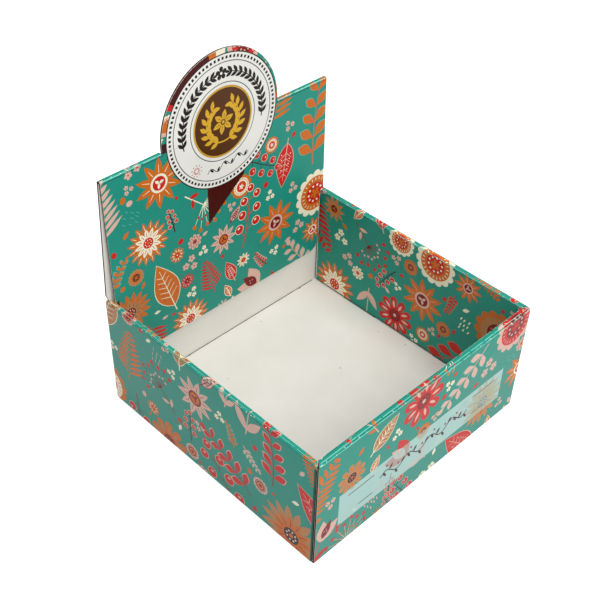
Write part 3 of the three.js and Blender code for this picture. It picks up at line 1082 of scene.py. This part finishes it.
def crease_lines(seed, low, high, lines, cracks):
    """Broken lines of painted highlight and painted shade along the folds, each given as its run on
    the sheet, width and colour.

    cracks are the runs along which small flecks of bare fibre show, most of them near the corners.
    """
    draw = random.Random(seed)
    for run, width, colour in lines:
        at = low + draw.uniform(0, 2)
        while at < high:
            end = min(high, at + draw.uniform(5, 30))
            drift = [draw.uniform(-0.07, 0.07) for _ in range(2)]
            stroke = [(at, run + drift[0]), ((at + end) / 2, run), (end, run + drift[1])]
            widths = [width * draw.uniform(0.6, 1.1) for _ in range(2)]
            yield FOLD_MARKS, colour, line(stroke, *widths)
            at = end + draw.uniform(0.1, 2.2)
    for run in cracks:
        for _ in range(int((high - low) / 7)):
            share = draw.random()
            near = share ** 2.2 * (high - low) / 2
            at = low + near if draw.random() < 0.5 else high - near
            size = draw.uniform(0.25, 0.8)
            aside, lean = draw.uniform(-0.35, 0.35), draw.uniform(-0.5, 0.5)
            yield EDGE_MARKS, "fibre", oval(at, run + aside, size * 1.6, size * 0.5, lean)


# Each line's run along the sheet, width and colour: the light lines are painted highlight, the dark
# ones painted shade
FRONT_CREASES = [(89.0, 0.3, "crease_light"), (89.9, 0.35, "crease_dark"),
                 (90.9, 0.35, "crease_light"), (93.0, 0.25, "crease_dark"),
                 (94.1, 0.42, "crease_light")]
SIDE_CREASES = [(89.1, 0.3, "crease_dark"), (90.2, 0.25, "crease_dark"),
                (90.7, 0.2, "crease_light"), (93.6, 0.3, "crease_light")]
HEADER_CREASES = [(182.9, 0.45, "crease_light"), (184.3, 0.3, "crease_dark"),
                  (186.0, 0.4, "crease_light")]


def cut_panel_lines(facets, ends):
    """Painted shade as a dark line under an inner panel's cut foot and in the gaps at its cut ends,
    with bare paper beside them.
    """
    foot = max(facet.box[3] for facet in facets)
    low, high = ends
    yield EDGE_MARKS, "crack", line([(low, foot - 0.25), (high, foot - 0.25)], 0.5)
    for end, side in ((low, 1), (high, -1)):
        for inset, width, colour in ((0.15, 0.3, "slit"), (0.55, 0.5, "fibre")):
            at = end + side * inset
            yield EDGE_MARKS, colour, line([(at, 95.5), (at, foot - 0.6)], width)


def corner_slit():
    """Painted shade: a near-black line in the gap where a side wall's fold meets the front wall's
    cut end, and a dark teal band on the fold beside it.
    """
    fold_end = CORNER_FRONT + FOLD_RADIUS - FOLD_RADIUS * pi / 2
    low, high = CORNER_FLAP_FOOT + 0.5, CORNER_FLAP_TOP
    for colour, aside, foot_width in (("slit", 0.45, 0.9), ("fold_shade", 1.5, 1.2)):
        at = fold_end + aside
        yield EDGE_MARKS, colour, line([(at, low), (at, high)], foot_width, 0.9)


def floor_sheet():
    """The bare floor, for the marks on it."""
    return [Facet(block(-94, -92, 94, BACK_INNER), (0.0, 0.0), Vector((0, 0, BOARD)), X, Y)]


def floor_marks():
    """Painted shade in the open line where the floor folds up to the back wall, and in small dents
    along it.
    """
    draw = random.Random(5)
    edge = BACK_INNER - 0.35
    yield 0, "crack", line([(-93.5, edge), (-40, edge - 0.15), (20, edge), (93.5, edge)], 0.7, 0.6)
    at = -88.0
    while at < 90:
        size = draw.uniform(1.2, 2.6)
        tip = edge - draw.uniform(0.5, 1.1)
        yield 1, "crack", [(at - size, edge), (at, tip), (at + size, edge)]
        at += draw.uniform(20, 60)


# The board itself

def board_piece(cad_name, facets, body):
    """The CAD node's own surface with the finish of each face: printed, bare, folded or cut."""
    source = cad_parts[cad_name]
    grid = bmesh.new()
    grid.from_mesh(source.data)
    bmesh.ops.remove_doubles(grid, verts=grid.verts, dist=1e-6)
    grid.verts.ensure_lookup_table()
    grid.faces.ensure_lookup_table()
    verts = [v.co.copy() for v in grid.verts]
    faces = [[v.index for v in f.verts] for f in grid.faces]
    widths = flat_widths(grid)
    kinds = [face_kind(face.calc_center_median() / MM, face.normal, widths[face.index], facets)
             for face in grid.faces]
    grid.free()
    order = ["teal", "fold", "liner", "edge"]
    made = plain_piece(cad_name + "_board", verts, faces, [MATERIALS[k] for k in order],
                       [order.index(k) for k in kinds], body)
    soften_folds(made)
    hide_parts(cad_name)


def flat_widths(grid):
    """For each face, the mean width in millimetres of the flat area that it belongs to."""
    widths, seen = [0.0] * len(grid.faces), set()
    for first in grid.faces:
        if first.index in seen:
            continue
        seen.add(first.index)
        area, waiting = [first], [first]
        while waiting:
            face = waiting.pop()
            for edge in face.edges:
                for other in edge.link_faces:
                    if other.index not in seen and other.normal.dot(first.normal) > 0.9999:
                        seen.add(other.index)
                        area.append(other)
                        waiting.append(other)
        corners = [v.co for face in area for v in face.verts]
        spans = [max(c[k] for c in corners) - min(c[k] for c in corners) for k in range(3)]
        width = sum(face.calc_area() for face in area) / Vector(spans).length / MM
        for face in area:
            widths[face.index] = width
    return widths


# A face takes a facet's finish where their normals' cosine and its distance from the facet's
# printed or bare side are within these. Distances are in millimetres.
SAME_WAY = 0.97
NEAR_PRINT, NEAR_LINER = 0.08, 0.12
DOWNWARD, NEAR_FLOOR = -0.99, 0.05


def face_kind(centre, normal, narrowest, facets):
    """The finish of one face. A face that is narrower than the board is thick is a cut edge."""
    for facet in facets:
        gap = (centre - facet.origin).dot(facet.normal)
        facing = normal.dot(facet.normal)
        if facing > SAME_WAY and abs(gap) < NEAR_PRINT and holds(facet, centre):
            return "fold" if facet.is_fold else "teal"
        if facing < -SAME_WAY and abs(gap + BOARD) < NEAR_LINER and holds(facet, centre):
            return "liner"
    if normal.z < DOWNWARD and abs(centre.z) < NEAR_FLOOR:
        return "teal"
    return "liner" if narrowest > BOARD * 1.2 else "edge"


def holds(facet, point, margin=2.5):
    """Whether a point lies over a facet, or less than the margin outside it."""
    offset = point - facet.origin
    u, v = facet.start[0] + offset.dot(facet.across), facet.start[1] + offset.dot(facet.up)
    low_u, low_v, high_u, high_v = facet.box
    slack = 0.2 if facet.is_fold else margin
    return low_u - margin < u < high_u + margin and low_v - slack < v < high_v + slack


def soften_folds(made, limit=radians(38)):
    """Smooth shading over the chords of a fold, sharp at every cut edge."""
    grid = bmesh.new()
    grid.from_mesh(made.data)
    for face in grid.faces:
        face.smooth = True
    for edge in grid.edges:
        edge.smooth = len(edge.link_faces) == 2 and edge.calc_face_angle() < limit
    grid.to_mesh(made.data)
    grid.free()


# Flutes in the cut edges, repeated along each edge by one Geometry Nodes tree

def flute_tree():
    """Repeats one period of the cut section along a line. Inputs: count, pitch and material."""
    tree = bpy.data.node_groups.new("flute_row", "GeometryNodeTree")
    for name, kind in (("Geometry", "Geometry"), ("Count", "Int"),
                       ("Pitch", "Float"), ("Material", "Material")):
        tree.interface.new_socket(name, in_out="INPUT", socket_type="NodeSocket" + kind)
    tree.interface.new_socket("Geometry", in_out="OUTPUT", socket_type="NodeSocketGeometry")
    given = node(tree, "NodeGroupInput")
    step = node(tree, "ShaderNodeCombineXYZ", X=given.outputs["Pitch"])
    row = node(tree, "GeometryNodeMeshLine", Count=given.outputs["Count"], Offset=step.outputs[0])
    laid = node(tree, "GeometryNodeInstanceOnPoints",
                Points=row.outputs[0], Instance=given.outputs["Geometry"])
    real = node(tree, "GeometryNodeRealizeInstances", Geometry=laid.outputs[0])
    done = node(tree, "GeometryNodeSetMaterial",
                Geometry=real.outputs[0], Material=given.outputs["Material"])
    out = node(tree, "NodeGroupOutput")
    tree.links.new(done.outputs[0], out.inputs[0])
    return tree


def wave_strips():
    """One period of the wavy paper between the liners."""
    steps = 12
    swing = BOARD / 2 - LINER_LINE - 0.08
    wave = [(FLUTE_PITCH * i / steps, swing * cos(2 * pi * i / steps)) for i in range(steps + 1)]
    return [line(wave, 0.2)]


def liner_strips():
    """One period of the two liners' cut ends."""
    heights = [side * (BOARD - LINER_LINE) / 2 for side in (1, -1)]
    return [line([(0, y), (FLUTE_PITCH, y)], LINER_LINE) for y in heights]


# How far a strip stands out of the cut edge, and how deep it reaches in
STRIP_TOP, STRIP_FOOT = 0.03, -0.01


def section_period(name, strips):
    """A part of the cut section, one flute long, as thin closed strips."""
    verts, faces = [], []
    for strip in strips:
        half = len(strip) // 2
        base = len(verts)
        for height in (STRIP_TOP, STRIP_FOOT):
            verts += [(x * MM, y * MM, height * MM) for x, y in strip]
        count = len(strip)
        for i in range(half - 1):
            a, b, c, d = i, i + 1, count - 2 - i, count - 1 - i
            faces.append([base + k for k in (a, b, c, d)])
            faces.append([base + count + k for k in (d, c, b, a)])
        for i in range(count):
            j = (i + 1) % count
            faces.append([base + j, base + i, base + count + i, base + count + j])
    mesh = bpy.data.meshes.new(name)
    mesh.from_pydata(verts, [], faces)
    return mesh


def flute_rows(name, edges, body, tree, period, material):
    """Rows of one part of the cut section along edges, each given as start, end and facing."""
    verts, faces = [], []
    for start, end, facing in edges:
        start, end, facing = Vector(start), Vector(end), Vector(facing).normalized()
        along = end - start
        count = max(1, round(along.length / FLUTE_PITCH))
        scale = along.length / (count * FLUTE_PITCH)
        carrier = put_in_scene("flute_carrier", period)
        modifier = carrier.modifiers.new("flutes", "NODES")
        modifier.node_group = tree
        sockets = {s.name: s.identifier for s in tree.interface.items_tree if s.in_out == "INPUT"}
        modifier[sockets["Count"]] = count
        modifier[sockets["Pitch"]] = FLUTE_PITCH * MM
        modifier[sockets["Material"]] = MATERIALS[material]
        graph = bpy.context.evaluated_depsgraph_get()
        flat = bpy.data.meshes.new_from_object(carrier.evaluated_get(graph))
        bpy.data.objects.remove(carrier)
        x_axis = along.normalized()
        y_axis = facing.cross(x_axis)
        base = len(verts)
        verts += [start * MM + x_axis * v.co.x * scale + y_axis * v.co.y + facing * v.co.z
                  for v in flat.vertices]
        faces += [[base + i for i in p.vertices] for p in flat.polygons]
        bpy.data.meshes.remove(flat)
    return plain_piece(name, verts, faces, [MATERIALS[material]], [0] * len(faces), body)


def cut_edges():
    """Edges where the flutes end: both sides of the header and the front wall, and flap tops."""
    mid = BOARD / 2
    short = 1.6  # a row of flutes stops this far before a fold
    spread = (SIDE - HEADER_HALF) / (HEADER_TOP - WALL_HEIGHT - RELIEF)

    def rear(side, z):
        x = side * (HEADER_HALF + spread * (HEADER_TOP - z))
        return x, BACK - mid - REAR_LEAN * (z - WALL_HEIGHT), z

    def layer_at(x, z):
        return x, FLAP_FOLD + mid + LAYER_SLOPE * (z - WALL_HEIGHT), z

    tray, flap = [], []
    for side in (1, -1):
        out, front_x = (side, 0, 0), side * FRONT_RAW_EDGE
        tray.append((rear(side, WALL_HEIGHT + RELIEF + 0.2), rear(side, HEADER_TOP - short), out))
        foot, rim = [(front_x, FRONT + mid, z) for z in (short, WALL_HEIGHT - short)]
        tray.append((foot, rim, out))
        half = side * HEADER_HALF
        flap.append((layer_at(half, SHOULDER + 0.2), layer_at(half, FLAP_TOP - 0.2), out))
        flap.append(((side * TUCK_HALF, FLAP_FOLD + mid, WALL_HEIGHT - 0.4),
                     (side * TUCK_HALF, FLAP_END + mid - 0.22, TUCK_END + TUCK_CORNER), out))
        y = CORNER_BACK - mid
        tray.append(((side * (CORNER_FLAP_END + 0.3), y, CORNER_FLAP_TOP - CORNER_FLAP_TAPER),
                     (side * (SIDE - BOARD - 0.3), y, CORNER_FLAP_TOP), (-side * FLAP_DROP, 0, 1)))
    steps = 40
    for i in range(steps):
        a, b = [pi * (-0.02 + 1.04 * k / steps) for k in (i, i + 1)]
        ends = [layer_at(*polar(SIGN_RADIUS, t, 0.0, SIGN_CENTRE)) for t in (a, b)]
        flap.append((*ends, (cos((a + b) / 2), 0, sin((a + b) / 2))))
    return tray, flap


# The light, the floor and the camera

# Strengths for the light that falls on the object, and for what the camera sees of the white sweep
FLOOR_GLOW = (0.68, 0.78)
AIR_GLOW = (0.46, 1.0)
FLOOR_REACH = 6.0
FLOOR_LEVEL = -0.0002
# Name, place in metres, watts and size in metres
SOFTBOXES = (("key_softbox", (-0.25, -1.3, 1.4), 22.0, 1.3),
             ("top_softbox", (0.0, -0.05, 1.7), 13.0, 1.2))


def glow_strength(tree, strengths):
    """A light path node, and a strength that differs for camera rays."""
    path = node(tree, "ShaderNodeLightPath")
    return path, stretched(tree, path.outputs["Is Camera Ray"], 0.0, 1.0, *strengths)


def studio():
    """A plain white sweep and two soft lamps at a level that keeps colours as written."""
    floor_material, tree = new_material("white_studio_floor")
    diffuse = node(tree, "ShaderNodeBsdfDiffuse", Color=linear("#C4C4C4"))
    path, strength = glow_strength(tree, FLOOR_GLOW)
    glow = node(tree, "ShaderNodeEmission", Color=(1, 1, 1, 1), Strength=strength)
    lit = node(tree, "ShaderNodeAddShader", i0=diffuse.outputs[0], i1=glow.outputs[0])
    either = sums(tree, "MAXIMUM", path.outputs["Is Camera Ray"], path.outputs["Is Glossy Ray"])
    chosen = node(tree, "ShaderNodeMixShader", i0=either, i1=diffuse.outputs[0], i2=lit.outputs[0])
    finish_material(tree, chosen.outputs[0])
    mesh = bpy.data.meshes.new("studio_floor")
    corners = block(-FLOOR_REACH, -FLOOR_REACH, FLOOR_REACH, FLOOR_REACH)
    mesh.from_pydata([(x, y, FLOOR_LEVEL) for x, y in corners], [], [(0, 1, 2, 3)])
    mesh.materials.append(floor_material)
    put_in_scene("studio_floor", mesh)

    world = bpy.data.worlds.new("studio_air")
    world.use_nodes = True
    world.node_tree.nodes.clear()
    strength = glow_strength(world.node_tree, AIR_GLOW)[1]
    sky = node(world.node_tree, "ShaderNodeBackground", Color=(1, 1, 1, 1), Strength=strength)
    node(world.node_tree, "ShaderNodeOutputWorld", Surface=sky.outputs[0])
    bpy.context.scene.world = world

    for name, place, watts, size in SOFTBOXES:
        lamp = bpy.data.lights.new(name, "AREA")
        lamp.energy, lamp.size = watts, size
        holder = put_in_scene(name, lamp)
        holder.location = place
        aim = Vector((0, 0, 0.08)) - Vector(place)
        holder.rotation_euler = aim.to_track_quat("-Z", "Y").to_euler()


def camera():
    """The photograph's viewpoint, worked out from the box's corners."""
    eye = bpy.data.cameras.new("photo_view")
    eye.sensor_width = 36.0
    eye.lens = 62.7365
    eye.shift_y = 0.015
    eye.clip_start, eye.clip_end = 0.05, 30.0
    holder = put_in_scene("photo_view", eye)
    holder.location = (-0.382356, -0.35549, 0.536961)
    holder.rotation_euler = [radians(a) for a in (49.1035, -1.3645, -44.5635)]
    bpy.context.scene.camera = holder


# Everything together

def raised(shapes, steps, recolour):
    return [(layer + steps, recolour(colour), outline) for layer, colour, outline in shapes]


front = front_sheet()
sides = {1: side_sheet(1), -1: side_sheet(-1)}
header = header_sheet()
front_layer = front_layer_sheet()

board_piece("tray", front + sides[1] + sides[-1] + header, TRAY)
board_piece("header_flap", front_layer, FLAP)

# Each scatter takes its own seed and a stretch of the flat sheet. Motifs keep out of the circles,
# which are a plain spot in the band's left end and the middle of the label.
front_print = scatter(11, (-99, 0), (99, 178), keep_out=[(-69, 36, 9), (-56, 36, 9)])
outer_front = [f for f in front if f.box[1] < 40 < f.box[3]]
other_front = [f for f in front if f not in outer_front]
printed("front_wall_print", TRAY,
        (other_front, front_print),
        (outer_front, front_print, {"without": [BAND_BOX]}),
        (outer_front, [(0, "band", BAND_BOX)]),
        (outer_front, raised(front_print, 1, under_band), {"only": BAND_BOX}),
        (outer_front, band_marks()),
        (front, crease_lines(3, -98, 98, FRONT_CREASES, (89.6, 94.2))),
        (front, cut_panel_lines(front, (MITRE_SLIT - SIDE_INNER, SIDE_INNER - MITRE_SLIT))))
for side, seed, name in ((1, 23, "right_wall_print"), (-1, 37, "left_wall_print")):
    printed(name, TRAY,
            (sides[side], scatter(seed, (-97, 0), (137, 178))),
            (sides[side], crease_lines(seed + 1, -97, 95, SIDE_CREASES, (89.7, 93.6))),
            (sides[side], cut_panel_lines(sides[side], (FRONT_INNER, SIDE_INNER_END))),
            (sides[side], corner_slit()))

label_outline = circle(LABEL_MIDDLE[0], LABEL_MIDDLE[1], LABEL_RADIUS, 96)
header_print = scatter(53, (-97, 35), (97, 372), keep_out=[(0, 187, 34)])
printed("back_print", TRAY,
        (header, header_print),
        (header, crease_lines(8, -96, 96, HEADER_CREASES, (183.0,))))
printed("front_layer_print", FLAP,
        (front_layer, header_print, {"without": [label_outline, RIBBON]}),
        (front_layer, [(5, "ribbon", RIBBON), *sign_rim_shapes()], {"without": [label_outline]}))
printed("sign_label", FLAP, (front_layer, label_shapes()))
printed("floor_crease_shade", TRAY, (floor_sheet(), floor_marks()))

rows = flute_tree()
parts = (("flutes", section_period("flute_wave", wave_strips()), "flute"),
         ("liners", section_period("liner_ends", liner_strips()), "liner_line"))
for owner, body, edges in zip(("tray", "header"), (TRAY, FLAP), cut_edges()):
    for part, period, material in parts:
        flute_rows(f"{owner}_cut_{part}", edges, body, rows, period, material)

studio()
camera()
bpy.context.scene.view_settings.view_transform = "Standard"
